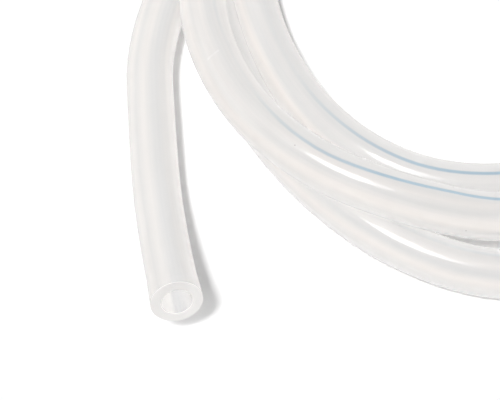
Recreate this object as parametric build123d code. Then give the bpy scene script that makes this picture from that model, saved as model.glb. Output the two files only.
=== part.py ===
from build123d import *

import math
import os

# A coil of soft silicone tubing: one extruded tube, cut square at both ends and wound by hand
# into three loose turns that lie on and beside each other. Millimetres, +Z up, standing on z = 0,
# with the origin under the middle of the coil's footprint.

# The tube's round section
bore_diameter = 6.0
wall_thickness = 2.0
tube_diameter = bore_diameter + 2 * wall_thickness

# The oval ring that the inner turn follows, seen from above
ring_half_width = 50.5
ring_half_depth_front = 62.7
ring_half_depth_back = 57.0
ring_middle_x = 1.45
ring_middle_y = 9.35

# How finely the turns are followed
points_per_turn = 20

# An arc takes this part of the shorter run beside it
arc_share = 0.45

# The winding, clockwise from the ring's left side. A row holds the turns wound so far, the lanes out
# from the ring and the levels up from the floor, where a lane or a level is one tube diameter.
winding_shares = [
    (0.00, 1.45, 0.00),  # from the free end, tucked under the other turns
    (0.05, 1.30, 0.00),
    (0.20, 1.35, 0.00),
    (0.50, 1.98, 0.00),
    (0.65, 2.20, 0.00),  # first turn, outermost on the floor at the front
    (0.75, 2.12, 0.00),
    (0.80, 1.70, 0.00),
    (0.85, 1.33, 0.00),
    (0.90, 1.14, 0.05),
    (0.95, 1.10, 0.40),
    (1.00, 1.12, 1.03),  # over the free end
    (1.05, 1.18, 1.11),
    (1.20, 1.20, 1.10),
    (1.35, 1.10, 0.92),
    (1.50, 1.02, 0.52),
    (1.65, 1.05, 0.52),  # second turn, in the valley between the other two
    (1.75, 1.08, 0.62),
    (1.80, 1.17, 0.96),
    (1.85, 1.50, 1.10),  # up and over the first turn
    (1.90, 1.66, 1.12),
    (1.95, 1.44, 1.53),
    (2.00, 0.42, 1.97),  # inwards across the top of the pile
    (2.05, 0.05, 1.28),
    (2.10, 0.00, 1.10),
    (2.20, 0.00, 0.90),
    (2.35, 0.00, 0.05),
    (2.40, 0.00, 0.00),
    (2.75, 0.00, 0.00),  # third turn, innermost on the floor
    (2.80, 0.09, 0.00),
    (2.85, 0.12, 0.00),
    (2.90, 0.09, 0.00),
    (3.00, 0.05, 0.00),
    (3.10, -0.15, 0.00),  # the far end, under the start of the third turn
]

# The free end, from its cut face to the winding. A row holds the place across from the ring's left
# side, the place along from the ring's middle, and the rise above where the tube lies on the floor.
free_end_points = [
    (-14.3, -92.6, 7.9),
    (-18.7, -70.8, 0.0),
    (-21.0, -46.0, 0.0),
    (-22.5, -26.0, 0.0),
]


def between_rows(turns):
    """The lanes out and the levels up after so many turns, read between two rows of the winding."""
    for (start, lane_a, level_a), (end, lane_b, level_b) in zip(winding_shares, winding_shares[1:]):
        if turns <= end:
            break
    way = (turns - start) / (end - start)
    return lane_a + way * (lane_b - lane_a), level_a + way * (level_b - level_a)


def winding_point(turns):
    """The middle of the tube after so many turns: a point of the oval, moved out and up."""
    lanes, levels = between_rows(turns)
    angle = math.pi - 2 * math.pi * turns
    half_depth = ring_half_depth_back if math.sin(angle) > 0 else ring_half_depth_front
    return (
        ring_middle_x + (ring_half_width + lanes * tube_diameter) * math.cos(angle),
        ring_middle_y + (half_depth + lanes * tube_diameter) * math.sin(angle),
        (0.5 + levels) * tube_diameter,
    )


def route_points():
    """The tube's route from the cut face of the free end to the far end."""
    left_side = ring_middle_x - ring_half_width
    free_end = [
        (left_side + across, ring_middle_y + along, tube_diameter / 2 + rise)
        for across, along, rise in free_end_points
    ]
    steps = round(winding_shares[-1][0] * points_per_turn)
    winding = [winding_point(step / points_per_turn) for step in range(steps + 1)]
    return [Vector(*point) for point in free_end + winding]


def corner_radii(points):
    """One radius for each corner: the largest arc that its two runs leave room for."""
    radii = []
    for before, corner, after in zip(points, points[1:], points[2:]):
        run_in, run_out = corner - before, after - corner
        half_turn = math.radians(run_in.get_angle(run_out)) / 2
        radii.append(arc_share * min(run_in.length, run_out.length) / math.tan(half_turn))
    return radii


points = route_points()
radii = corner_radii(points)
path = FilletPolyline(*points, radius=radii)

# The ring-shaped section, square to the route at the cut face, carried along the route
cut_face = Plane(origin=path @ 0, z_dir=path % 0)
section = Circle(tube_diameter / 2) - Circle(bore_diameter / 2)
silicone_tube = sweep(cut_face * section, path=path)

os.makedirs("parts", exist_ok=True)
export_step(silicone_tube, "parts/silicone_tube.step")

section_area = math.pi / 4 * (tube_diameter**2 - bore_diameter**2)
print("radii", [round(radius, 1) for radius in radii])
print("tightest radius", round(min(radii), 1))
print("length", round(path.length, 1))
print("volume", round(silicone_tube.volume, 1), "section times length", round(section_area * path.length, 1))
print("box", silicone_tube.bounding_box())
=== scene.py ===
# %% [markdown]
# # A coil of silicone tubing
#
# The object is one length of soft, milky silicone tube, wound by hand into a loose oval coil with its free end
# left out beside it. This lesson dresses it in Blender: a smooth tube that follows the winding, a translucent
# rubber with a thin blue line, and a bright table top to see it on.
#
# The construction model comes first, as a fixed frame in metres.

# %% Load the frame
import math

import bpy
import numpy as np
from mathutils import Matrix, Vector


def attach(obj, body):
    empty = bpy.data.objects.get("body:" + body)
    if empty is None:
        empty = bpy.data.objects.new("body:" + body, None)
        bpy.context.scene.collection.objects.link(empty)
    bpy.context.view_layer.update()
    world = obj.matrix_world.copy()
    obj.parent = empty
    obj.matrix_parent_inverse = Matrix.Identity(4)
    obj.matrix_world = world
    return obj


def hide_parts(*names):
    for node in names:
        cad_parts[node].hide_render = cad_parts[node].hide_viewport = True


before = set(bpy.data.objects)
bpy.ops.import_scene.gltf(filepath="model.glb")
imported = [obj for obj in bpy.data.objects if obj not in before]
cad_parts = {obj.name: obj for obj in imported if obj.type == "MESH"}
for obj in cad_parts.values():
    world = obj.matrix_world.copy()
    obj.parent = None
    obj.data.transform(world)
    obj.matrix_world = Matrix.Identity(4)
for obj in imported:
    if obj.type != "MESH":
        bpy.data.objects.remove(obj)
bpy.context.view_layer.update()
scene = bpy.context.scene
scene.view_settings.view_transform = "Standard"

# %% [markdown]
# ## The camera
#
# The coil is seen from close by and from well above, with a long lens, so that it runs out of the picture at the
# top and at the right. Such a view is set by a point on the table in the middle of the picture, an elevation and a
# distance. The lens follows from how many pixels one radian covers in a picture 500 pixels wide.

# %% Place the camera
picture_width_px = 500
pixels_per_radian = 1709
aim = Vector((-0.04885, -0.05285, 0.0))
elevation = math.radians(60)
distance = 0.360

camera_data = bpy.data.cameras.new("camera")
camera_data.sensor_width = 36.0
camera_data.lens = camera_data.sensor_width * pixels_per_radian / picture_width_px
camera_data.clip_start = 0.01
camera = bpy.data.objects.new("camera", camera_data)
camera.location = aim + distance * Vector((0, -math.cos(elevation), math.sin(elevation)))
camera.rotation_euler = (math.pi / 2 - elevation, 0, 0)
scene.collection.objects.link(camera)
scene.camera = camera
print(f"lens {camera_data.lens:.1f} mm, {distance * 1000:.0f} mm from the table")

# %% [markdown]
# ## The route of the tube
#
# A tube that is wound by hand never lies in perfect rings: each turn drifts out or in by part of a tube's width,
# and climbs where it crosses another. So the winding is an oval, walked clockwise from its left side, with a short
# table that says how many lanes out and how many levels up the tube is after so many turns. One lane or level is
# one tube diameter. The free end is a few listed points. These are the points of the construction model in
# metres, with a few of them moved by about a millimetre to lie as a soft tube does.

# %% Work out the points of the route
tube_diameter = 0.010
bore_diameter = 0.006
ring_half_width = 0.0505
ring_half_depth_front = 0.0627
ring_half_depth_back = 0.0570
ring_middle = (0.00145, 0.00935)
points_per_turn = 20

winding_shares = np.array([
    (0.00, 1.41, 0.00),
    (0.05, 1.30, 0.00),
    (0.20, 1.35, 0.00),
    (0.50, 1.98, 0.00),
    (0.65, 2.20, 0.00),
    (0.75, 2.12, 0.00),
    (0.80, 1.70, 0.00),
    (0.85, 1.33, 0.00),
    (0.90, 1.14, 0.05),
    (0.95, 1.10, 0.40),
    (1.00, 1.12, 1.03),
    (1.05, 1.18, 1.11),
    (1.20, 1.20, 1.10),
    (1.35, 1.10, 0.92),
    (1.50, 1.02, 0.52),
    (1.65, 1.05, 0.52),
    (1.75, 1.15, 0.74),
    (1.80, 1.22, 1.04),
    (1.85, 1.48, 1.06),
    (1.90, 1.66, 1.12),
    (1.95, 1.50, 1.53),
    (2.00, 0.42, 1.97),
    (2.05, 0.05, 1.28),
    (2.10, 0.00, 1.10),
    (2.20, 0.00, 0.90),
    (2.35, 0.00, 0.05),
    (2.40, 0.00, 0.00),
    (2.75, 0.00, 0.00),
    (2.80, 0.09, 0.00),
    (2.85, 0.12, 0.00),
    (2.90, 0.09, 0.00),
    (3.00, 0.05, 0.00),
    (3.10, -0.15, 0.00),
])
free_end_points = np.array([
    (-0.0141, -0.0926, 0.0079),
    (-0.0185, -0.0708, 0.0),
    (-0.0208, -0.0460, 0.0),
    (-0.0221, -0.0260, 0.0),
])


def winding_points():
    """The oval's point at each step, moved out by its lanes and up by its levels, as one array."""
    steps = round(winding_shares[-1, 0] * points_per_turn)
    turns = np.arange(steps + 1) / points_per_turn
    lanes = np.interp(turns, winding_shares[:, 0], winding_shares[:, 1]) * tube_diameter
    levels = np.interp(turns, winding_shares[:, 0], winding_shares[:, 2]) * tube_diameter
    angle = np.pi - 2 * np.pi * turns
    half_depth = np.where(np.sin(angle) > 0, ring_half_depth_back, ring_half_depth_front)
    return np.column_stack([
        ring_middle[0] + (ring_half_width + lanes) * np.cos(angle),
        ring_middle[1] + (half_depth + lanes) * np.sin(angle),
        tube_diameter / 2 + levels,
    ])


left_side = (ring_middle[0] - ring_half_width, ring_middle[1], tube_diameter / 2)
route = np.vstack([free_end_points + left_side, winding_points()])
print("points of the route:", len(route))

# %% [markdown]
# ## One smooth line
#
# Soft tubing bends in one flowing line. A NURBS curve gives that: it is pulled towards its points and rounds every
# corner. Blender works the curve out, and its points become the middle line that the tube's wall is built around.

# %% Turn the route into a smooth middle line
curve = bpy.data.curves.new("tube_route", "CURVE")
curve.dimensions = "3D"
curve.resolution_u = 7
spline = curve.splines.new("NURBS")
spline.points.add(len(route) - 1)
spline.points.foreach_set("co", np.column_stack([route, np.ones(len(route))]).ravel())
spline.order_u = 3
spline.use_endpoint_u = True
route_object = bpy.data.objects.new("tube_route", curve)
line_mesh = bpy.data.meshes.new_from_object(route_object)
middle_line = np.empty(len(line_mesh.vertices) * 3)
line_mesh.vertices.foreach_get("co", middle_line)
middle_line = middle_line.reshape(-1, 3)
bpy.data.objects.remove(route_object)
bpy.data.meshes.remove(line_mesh)
bpy.data.curves.remove(curve)

spans = np.linalg.norm(np.diff(middle_line, axis=0), axis=1)
along = np.concatenate([[0.0], np.cumsum(spans)])

# %% [markdown]
# ## The tube's wall
#
# The tube could be a curve with a round bevel, but that has no bore. Here the wall is one closed profile instead: it
# runs along the outside, round the cut edge at the far end, back through the bore, and round the other cut edge to
# where it began. Each row of the profile is a ring about the middle line, so the whole wall is one grid that closes
# both ways. A knife leaves the cut edges a little soft, so each corner is a small quarter circle. One more row lies
# close to each corner on both sides of it, which keeps the smooth shading flat on the cut faces. The mouth of the
# free end is a touch wider than the tube, as a soft end is.

# %% Build the wall as one grid
segments_around = 96
edge_rounding = 0.00012
flat_margin = 0.0004
end_flare, flare_length = 0.05, 0.004
edge_steps = 3
hair = 1e-6


def wall_profile(count):
    """The rows of the wall: which point of the middle line, how far past it along the tube, and the radius."""
    outer, inner = tube_diameter / 2, bore_diameter / 2
    turn = np.linspace(0, np.pi / 2, edge_steps + 1)
    outer_corner = np.column_stack([
        -edge_rounding + edge_rounding * np.sin(turn), outer - edge_rounding + edge_rounding * np.cos(turn)])
    inner_corner = np.column_stack([
        -edge_rounding + edge_rounding * np.cos(turn), inner + edge_rounding - edge_rounding * np.sin(turn)])
    face_rows = [(0, outer - flat_margin), (0, inner + flat_margin)]
    end_edge = np.vstack([(-flat_margin, outer), outer_corner, face_rows, inner_corner, (-flat_margin, inner)])
    start_edge = end_edge[::-1] * (-1, 1)
    walls = np.arange(1, count - 1)
    place = np.concatenate([
        walls, np.full(len(end_edge), count - 1), walls[::-1], np.zeros(len(start_edge), int)])
    past = np.concatenate([np.zeros(len(walls)), end_edge[:, 0], np.zeros(len(walls)), start_edge[:, 0]])
    radius = np.concatenate([
        np.full(len(walls), outer), end_edge[:, 1], np.full(len(walls), inner), start_edge[:, 1]])
    return place, past, radius


def ring_frames(points):
    """At each point: the direction along the tube, the way up square to it, and the way to the side."""
    forward = np.gradient(points, axis=0)
    forward /= np.linalg.norm(forward, axis=1, keepdims=True)
    up = np.array([0.0, 0.0, 1.0]) - forward * forward[:, 2:3]
    up /= np.linalg.norm(up, axis=1, keepdims=True)
    return forward, up, np.cross(forward, up)


def closed_grid_faces(rows, columns):
    """Four corners for each cell of a grid whose rows and columns both run round to where they began."""
    corner = np.arange(rows * columns).reshape(rows, columns)
    below = np.roll(corner, -1, axis=0)
    return np.stack([corner, np.roll(corner, -1, axis=1), np.roll(below, -1, axis=1), below], axis=-1).reshape(-1, 4)


place, past, radius = wall_profile(len(middle_line))
outside = radius > tube_diameter / 2 - edge_rounding / 2
cut_face = (radius < tube_diameter / 2 - hair) & (radius > bore_diameter / 2 + hair)
radius *= 1 + end_flare * np.exp(-(along[place] / flare_length) ** 2)
forward, up, side = ring_frames(middle_line)
angle_round = np.arange(segments_around) / segments_around * 2 * np.pi
spoke = (np.cos(angle_round)[None, :, None] * up[place][:, None, :]
         + np.sin(angle_round)[None, :, None] * side[place][:, None, :])
ring_middles = middle_line[place] + forward[place] * past[:, None]
wall = (ring_middles[:, None, :] + radius[:, None, None] * spoke).reshape(-1, 3)
faces = closed_grid_faces(len(place), segments_around)

mesh = bpy.data.meshes.new("silicone_tubing")
mesh.from_pydata(wall, [], faces)
mesh.shade_smooth()
tube = bpy.data.objects.new("silicone_tubing", mesh)
scene.collection.objects.link(tube)
print(f"wall: {len(wall)} points, {2 * len(faces)} triangles")

# %% [markdown]
# ## Places on the wall
#
# Marks from the extruder run along the tube, and the painted light and shade lie at set angles round it, so the
# finish has to know where on the tube it is. Six attributes tell it: the way round and along in millimetres, how far
# it is to the blue line, how strong the line is there, whether this is a cut face, whether it is the skin or the
# bore, and how much painted light the milk has there. The line sits on top of the tube where the coil lies flat and
# turns with the tube elsewhere, so its angle from the top and its strength come from one short table. Two more
# tables paint light and shade by angle, as lighter warm bands and greyer ones, for the skin and for the bore.

# %% Store the places as attributes
# turns wound so far, degrees from the top of the tube, strength of the line
blue_line = np.array([
    (-0.50, 170, 0.00),
    (0.10, 170, 0.20),
    (0.55, 60, 0.40),
    (0.75, 20, 0.20),
    (0.80, 15, 0.08),
    (0.95, 40, 0.00),
    (1.30, 60, 0.90),
    (1.60, 20, 1.00),
    (1.75, 13, 1.00),
    (1.78, 17, 1.00),
    (1.81, 10, 1.00),
    (1.845, 3, 0.64),
    (1.865, 6, 0.40),
    (1.89, 18, 0.08),
    (1.92, 28, 0.03),
    (2.00, 20, 0.30),
    (2.30, 30, 0.90),
    (2.60, 10, 1.00),
    (2.75, 5, 1.00),
    (2.80, 3, 0.90),
    (2.85, 5, 0.52),
    (2.88, 5, 0.22),
    (2.90, 8, 0.04),
    (3.10, 30, 0.10),
])

# degrees from the top of the tube, share of the lighter warm milk: painted light and shade by angle, lighter where
# the share is high and greyer where it is low; on the skin, then in the bore
skin_painted_light = np.array([
    (-110, 0.20), (-86, 0.40), (-68, 0.70), (-52, 1.00), (-34, 0.10), (-12, 0.55), (0, 0.10), (8, 0.00),
    (20, 0.05), (34, 0.25), (52, 0.65), (80, 1.00), (110, 0.40), (180, 0.30),
])
bore_painted_light = np.array([
    (-170, 0.00), (-158, 1.00), (-80, 1.00), (-50, 0.50), (60, 0.40), (125, 0.45), (150, 0.00),
])

# how far the bands wander, in degrees, and how fast along the tube, in radians per metre
slow_wander, slow_rate = 6, 57
quick_wander, quick_rate, quick_start = 3, 146, 1

# each span of the smooth curve begins and ends halfway between two points of the route
route_place = np.linspace(0, len(route) - 2, len(middle_line)) + 0.5
turns_along = (route_place - len(free_end_points)) / points_per_turn
line_angle = np.radians(np.interp(turns_along, blue_line[:, 0], blue_line[:, 1]))
line_strength = np.interp(turns_along, blue_line[:, 0], blue_line[:, 2])


def from_line():
    """Millimetres round the outside from the blue line to each point of the wall, whichever way is shorter."""
    away = angle_round[None, :] - line_angle[place][:, None]
    return np.abs((away + np.pi) % (2 * np.pi) - np.pi) * tube_diameter / 2 * 1000


def round_and_along():
    """The place on the straightened tube, in millimetres: across it two ways, and along it."""
    return np.stack(np.broadcast_arrays(
        np.cos(angle_round)[None, :] * radius[:, None] * 1000,
        np.sin(angle_round)[None, :] * radius[:, None] * 1000,
        (along[place] + past)[:, None] * 1000), axis=-1)


def painted_light_by_angle():
    """The tables of painted light read at each point, the bands wandering a few degrees to and fro along the tube.
    """
    wander = slow_wander * np.sin(along * slow_rate) + quick_wander * np.sin(along * quick_rate + quick_start)
    degrees = np.degrees(angle_round)[None, :] + wander[place][:, None]
    skin = np.interp(degrees, skin_painted_light[:, 0], skin_painted_light[:, 1], period=360)
    bore = np.interp(degrees, bore_painted_light[:, 0], bore_painted_light[:, 1], period=360)
    return np.where(outside[:, None], skin, bore)


def add_attribute(name, kind, values):
    """Stores one value, or one vector, for each point of the wall."""
    made = mesh.attributes.new(name, kind, "POINT")
    made.data.foreach_set("vector" if kind == "FLOAT_VECTOR" else "value", np.asarray(values, np.float32).ravel())


every_way = np.ones(segments_around)
add_attribute("way_round", "FLOAT_VECTOR", round_and_along())
add_attribute("from_line", "FLOAT", from_line())
add_attribute("line_strength", "FLOAT", np.outer(line_strength[place] * outside, every_way))
add_attribute("cut_face", "FLOAT", np.outer(cut_face, every_way))
add_attribute("outside", "FLOAT", np.outer(outside, every_way))
# the share of lighter milk by angle: painted light and shade
add_attribute("painted_light_share", "FLOAT", painted_light_by_angle())
print("attributes:", [a.name for a in mesh.attributes if not a.name.startswith(".")])

# %% [markdown]
# ## Writing shaders as sums
#
# A finish is a small program of nodes. One class wraps a node's output, so that plus, minus and times add Math
# nodes, and one method adds any other kind of node.

# %% Wrap the sockets


class Shade:
    """One output of a node in a material."""

    def __init__(self, tree, socket=None):
        self.tree = tree
        self.socket = socket

    def node(self, kind, settings=None, values=None, out=0):
        """Adds a node: its settings first, then a number or a link for each socket named by place or name."""
        made = self.tree.nodes.new(kind)
        for name, value in (settings or {}).items():
            setattr(made, name, value)
        for name, value in (values or {}).items():
            if isinstance(value, Shade):
                self.tree.links.new(value.socket, made.inputs[name])
            else:
                made.inputs[name].default_value = value
        return Shade(self.tree, made.outputs[out]) if made.outputs else made

    def maths(self, operation, left, right=0.0):
        return self.node("ShaderNodeMath", {"operation": operation}, {0: left, 1: right})

    def __add__(self, other):
        return self.maths("ADD", self, other)

    def __sub__(self, other):
        return self.maths("SUBTRACT", self, other)

    def __rsub__(self, other):
        return self.maths("SUBTRACT", other, self)

    def __mul__(self, other):
        return self.maths("MULTIPLY", self, other)

    __radd__ = __add__
    __rmul__ = __mul__

    def smooth(self, low, high):
        """0 below low, 1 above high and an even slope between, the other way round where low is above high."""
        return self.node("ShaderNodeMapRange", {"interpolation_type": "SMOOTHSTEP"},
                         {"Value": self, "From Min": low, "From Max": high})

    def light_paths(self):
        """1 for a ray from the camera, and 1 for a ray that a mirror or something clear sent on from there."""
        path = [self.node("ShaderNodeLightPath", out=name)
                for name in ("Is Camera Ray", "Is Glossy Ray", "Is Transmission Ray", "Diffuse Depth")]
        return path[0], self.maths("MAXIMUM", path[1], path[2]) * path[3].smooth(1, 0)

    def mix(self, left, right):
        """The left colour where this is 0, and the right one where it is 1."""
        return self.node("ShaderNodeMix", {"data_type": "RGBA"}, {0: self, 6: left, 7: right}, out=2)

    def mix_shaders(self, left, right):
        """The left shader where this is 0, and the right one where it is 1."""
        return self.node("ShaderNodeMixShader", {}, {0: self, 1: left, 2: right})


def new_material(name):
    """An empty material, and a handle to add nodes to it."""
    material = bpy.data.materials.new(name)
    material.use_nodes = True
    material.node_tree.nodes.clear()
    return material, Shade(material.node_tree)


print("shader kit ready")

# %% [markdown]
# ## Milky silicone
#
# Translucent silicone is part clear and part cloudy, so the finish mixes the two. The clear part bends light and has
# a satin skin. The cloudy part sends light back and also lets some through. A knife leaves the cut faces matt, so
# they are rougher and cloudier, and their cloudy part only sends light back. The colour is laid on in layers: a
# darker milk in the bore as painted shade, a greyer milk on the skin, the lighter warm bands of the last tables as
# painted light and shade by angle, made less even by a noise that is drawn out along the tube, the thin blue line,
# one short scuff, and a few specks of dust at listed places. Each Translucent shader keeps one plain colour, so
# there is one for each layer, and they are mixed by the same shares. The lamps shine through the wall a little, as
# they do through thin rubber.

# %% Make the silicone
# the bore's darker grey milk is painted shade inside the hollow bore
bore_painted_shade_milk = (0.700, 0.700, 0.706, 1)
# the skin's grey milk is painted shade where the band tables give no lighter milk, and the lighter warm milk is
# painted light
grey_milk = (0.848, 0.851, 0.854, 1)
painted_light_milk = (1.000, 0.968, 0.942, 1)
cut_milk = (0.880, 0.862, 0.848, 1)
line_blue = (0.22, 0.47, 0.66, 1)
scuff_white = (1, 1, 1, 1)
dust_grey = (0.50, 0.48, 0.46, 1)
line_cover, scuff_cover, speck_cover = 0.7, 0.6, 0.75

line_half_width_mm = 0.39
line_blur_mm = 0.25
speck_radius_mm = 0.22
scuff_radius_mm = 0.32
# degrees from the top of the tube, and millimetres along it
speck_places = [(-19, 892.7), (38, 860.2), (-74, 856.4), (25, 240), (-40, 612), (65, 1130)]
scuff_ends = [(-34, 919.2), (-4, 919.8)]

# repeats in a millimetre, across the tube two ways and along it
broad_band_scale = (0.38, 0.38, 0.006)
fine_band_scale = (1.7, 1.7, 0.010)
band_low, band_high = 0.32, 0.68
broad_share = 0.6
band_unevenness = 0.4

silicone_ior = 1.41
clear_roughness, band_roughness, back_roughness = 0.08, 0.08, 0.16
coat_weight, coat_roughness = 0.4, 0.14
sent_back = 0.58
cloudiness_inside, cloudiness_outside = 0.20, 0.50
lamps_through_inside, lamps_through_outside = 0.90, 0.20
# what a cut face has on top of that
cut_cloudier, cut_rougher_clear, cut_rougher_back = 0.5, 0.4, 0.5


def lengthwise_bands(shade, way_round):
    """0 to 1 in broad soft bands with finer ones in them, drawn out along the tube."""
    parts = []
    for scale in (broad_band_scale, fine_band_scale):
        drawn_out = shade.node("ShaderNodeMapping", {}, {"Vector": way_round, "Scale": scale})
        noise = shade.node("ShaderNodeTexNoise", {}, {"Vector": drawn_out, "Scale": 1.0, "Detail": 2.0}, out="Fac")
        parts.append(noise.smooth(band_low, band_high))
    return parts[0] * broad_share + parts[1] * (1 - broad_share)


def on_skin(degrees, along_mm):
    """The point of the skin at this angle from the top and this far along, as the wall stores its places."""
    turn = math.radians(degrees)
    return (math.cos(turn) * tube_diameter * 500, math.sin(turn) * tube_diameter * 500, along_mm)


def short_mark(shade, way_round, start, end, radius_mm):
    """1 on the straight line from start to end and 0 from the radius outwards: the distance to its nearest point."""
    whole = Vector(end) - Vector(start)
    from_start = shade.node("ShaderNodeVectorMath", {"operation": "SUBTRACT"}, {0: way_round, 1: start})
    share = shade.node("ShaderNodeVectorMath", {"operation": "DOT_PRODUCT"}, {
        0: from_start, 1: whole / (whole.length_squared or 1)}, out="Value")
    share = shade.node("ShaderNodeClamp", {}, {"Value": share})
    nearest = shade.node("ShaderNodeVectorMath", {"operation": "SCALE"}, {0: whole, "Scale": share})
    away = shade.node("ShaderNodeVectorMath", {"operation": "DISTANCE"}, {0: from_start, 1: nearest}, out="Value")
    return away.smooth(radius_mm, radius_mm / 3)


def milky_silicone():
    """Clear and cloudy rubber mixed, where each layer of colour covers what is under it by its share."""
    material, shade = new_material("milky_silicone")
    way_round = shade.node("ShaderNodeAttribute", {"attribute_name": "way_round"}, out="Vector")
    distance_mm, strength, cut, skin, painted_light_share = [
        shade.node("ShaderNodeAttribute", {"attribute_name": name}, out="Fac")
        for name in ("from_line", "line_strength", "cut_face", "outside", "painted_light_share")]
    bands = lengthwise_bands(shade, way_round)
    # painted light and shade from the band tables, made uneven at random by the drawn-out noise
    painted_light_and_tone = painted_light_share + (bands - 0.5) * band_unevenness
    line = distance_mm.smooth(line_half_width_mm + line_blur_mm, line_half_width_mm - line_blur_mm) * strength
    scuff = short_mark(shade, way_round, *[on_skin(*end) for end in scuff_ends], scuff_radius_mm)
    specks = sum(short_mark(shade, way_round, on_skin(*spot), on_skin(*spot), speck_radius_mm)
                 for spot in speck_places)

    # the first three layers paint light and shade: the darker bore, the grey skin and the lighter warm bands
    colour = bore_painted_shade_milk
    through = shade.node("ShaderNodeBsdfTranslucent", {}, {"Color": bore_painted_shade_milk})
    layers = [(skin, grey_milk), (painted_light_and_tone, painted_light_milk), (line * line_cover, line_blue),
              (scuff * scuff_cover, scuff_white), (specks * speck_cover, dust_grey)]
    for share, paint in layers:
        colour = share.mix(colour, paint)
        through = share.mix_shaders(through, shade.node("ShaderNodeBsdfTranslucent", {}, {"Color": paint}))
    colour = cut.mix(colour, cut_milk)

    clear = shade.node("ShaderNodeBsdfPrincipled", {}, {
        "Base Color": colour,
        "Roughness": clear_roughness + bands * band_roughness + cut * cut_rougher_clear,
        "IOR": silicone_ior,
        "Transmission Weight": 1.0,
        "Coat Weight": coat_weight - cut * coat_weight,
        "Coat Roughness": coat_roughness,
    })
    back = shade.node("ShaderNodeBsdfPrincipled", {}, {
        "Base Color": colour, "Roughness": back_roughness + cut * cut_rougher_back, "IOR": silicone_ior})
    cloudy = (sent_back + cut * (1 - sent_back)).mix_shaders(through, back)
    cloudiness = cloudiness_inside + skin * (cloudiness_outside - cloudiness_inside) + cut * cut_cloudier
    rubber = cloudiness.mix_shaders(clear, cloudy)

    lamps_through = lamps_through_inside + skin * (lamps_through_outside - lamps_through_inside)
    shadow_ray = shade.node("ShaderNodeLightPath", out="Is Shadow Ray")
    open_way = shade.node("ShaderNodeBsdfTransparent", {}, {"Color": (1, 1, 1, 1)})
    surface = (shadow_ray * lamps_through).mix_shaders(rubber, open_way)
    shade.node("ShaderNodeOutputMaterial", {}, {"Surface": surface})
    return material


tube.data.materials.append(milky_silicone())
print("finish:", tube.data.materials[0].name, "with", len(tube.data.materials[0].node_tree.nodes), "nodes")

# %% [markdown]
# ## The table top
#
# A white table that melts into the background. Its own colour is white, and for the camera a little glow lifts it
# to full white, while the shadow of the tube stays. Rays that the rubber mirrors or bends see plain white there, so
# that the clear parts of the tube look bright.

# %% Lay the table top
table_half_width = 2.0
table_white = (0.9, 0.9, 0.9, 1)
camera_glow = 0.12
white_beyond = 0.9


def white_table():
    """White paint with a little glow for the camera, and plain full white for mirrored and bent rays."""
    material, shade = new_material("white_table")
    camera_ray, sent_on = shade.light_paths()
    paint = shade.node("ShaderNodeBsdfDiffuse", {}, {"Color": table_white})
    glow = shade.node("ShaderNodeEmission", {}, {"Color": (1, 1, 1, 1), "Strength": camera_ray * camera_glow})
    lit = shade.node("ShaderNodeAddShader", {}, {0: paint, 1: glow})
    white = shade.node("ShaderNodeEmission", {}, {"Color": (1, 1, 1, 1), "Strength": 1.0})
    seen = (sent_on * white_beyond).mix_shaders(lit, white)
    shade.node("ShaderNodeOutputMaterial", {}, {"Surface": seen})
    return material


corners = np.array([(-1, -1, 0), (1, -1, 0), (1, 1, 0), (-1, 1, 0)]) * table_half_width
table_mesh = bpy.data.meshes.new("table_top")
table_mesh.from_pydata(corners, [], [(0, 1, 2, 3)])
table_mesh.materials.append(white_table())
table = bpy.data.objects.new("table_top", table_mesh)
scene.collection.objects.link(table)
print("table top", 2 * table_half_width, "m wide")

# %% [markdown]
# ## The light
#
# A bright room gives even light from all sides. Two soft boxes above the coil show only in the gloss and draw the
# long gleams: a bright one, and a dim one beside it that lets each gleam fade out. A sun draws the narrow shadow at
# the right of each strand. A large panel overhead lights the rubber evenly, because light goes round and through
# milky strands that lie on each other. Light linking gives each lamp its task: the sun reaches the table alone, and
# the panel reaches the tube alone.

# %% Light the scene
room_strength = 0.30
ceiling_strength = 0.3
ceiling_from, ceiling_to = 0.45, 0.85
lamp_distance = 1.0


def white_room():
    """An even white room. The camera and mirrored or bent rays see it at full white."""
    world = bpy.data.worlds.new("white_room")
    world.use_nodes = True
    world.node_tree.nodes.clear()
    shade = Shade(world.node_tree)
    camera_ray, sent_on = shade.light_paths()
    direction = shade.node("ShaderNodeTexCoord", out="Generated")
    overhead = shade.node("ShaderNodeSeparateXYZ", {}, {0: direction}, out="Z").smooth(ceiling_from, ceiling_to)
    mirrored = 1.0 - overhead * (1 - ceiling_strength)
    background = shade.node("ShaderNodeBackground", {}, {
        "Color": (1, 1, 1, 1),
        "Strength": room_strength + camera_ray * (1 - room_strength) + sent_on * (mirrored - room_strength)})
    shade.node("ShaderNodeOutputWorld", {}, {"Surface": background})
    return world


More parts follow.
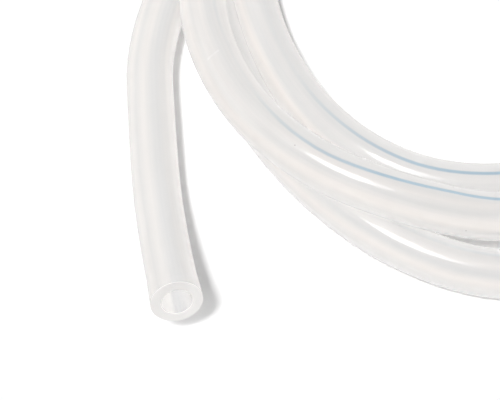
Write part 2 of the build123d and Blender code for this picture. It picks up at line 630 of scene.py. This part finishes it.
def soft_box(name, direction, long_way, size, watts):
    """An oval lamp that stands in this direction from the coil and faces it, with its long side this way."""
    data = bpy.data.lights.new(name, "AREA")
    data.shape = "ELLIPSE"
    data.size, data.size_y = size
    data.energy = watts
    lamp = bpy.data.objects.new(name, data)
    towards = Vector(direction).normalized()
    long_axis = (Vector(long_way) - towards * towards.dot(Vector(long_way))).normalized()
    lamp.location = towards * lamp_distance
    lamp.rotation_euler = Matrix((long_axis, towards.cross(long_axis), towards)).transposed().to_euler()
    lamp.visible_camera = False
    scene.collection.objects.link(lamp)
    return lamp


def alone(thing):
    """A collection with one object in it, for the light linking of a lamp."""
    group = bpy.data.collections.new(thing.name + "_alone")
    group.objects.link(thing)
    return group


scene.world = white_room()
gleam_long_way = (0.37, 0.93, 0.23)
gleam_box = soft_box("gleam_box", (-0.24, -0.14, 0.96), gleam_long_way, (0.36, 0.22), 2.9)
gleam_tail = soft_box("gleam_tail", (-0.12, -0.19, 0.97), gleam_long_way, (0.30, 0.18), 0.5)
for box in (gleam_box, gleam_tail):
    box.visible_diffuse = False
    box.visible_transmission = False

sun_data = bpy.data.lights.new("high_sun", "SUN")
sun_data.energy = 2.4
sun_data.angle = math.radians(9)
high_sun = bpy.data.objects.new("high_sun", sun_data)
high_sun.rotation_euler = Vector((-0.23, -0.37, 1.0)).to_track_quat("Z", "Y").to_euler()
scene.collection.objects.link(high_sun)
fill_panel = soft_box("fill_panel", (-0.18, -0.08, 0.98), (1.0, 0.0, 0.0), (4.0, 4.0), 53.0)
for lamp in (high_sun, fill_panel):
    lamp.visible_glossy = False
    lamp.visible_transmission = False

table_alone, tube_alone = alone(table), alone(tube)
high_sun.light_linking.receiver_collection = table_alone
fill_panel.light_linking.receiver_collection = tube_alone
fill_panel.light_linking.blocker_collection = table_alone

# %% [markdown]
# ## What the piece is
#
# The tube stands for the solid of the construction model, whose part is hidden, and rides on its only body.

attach(tube, "root")
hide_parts("silicone_tube")
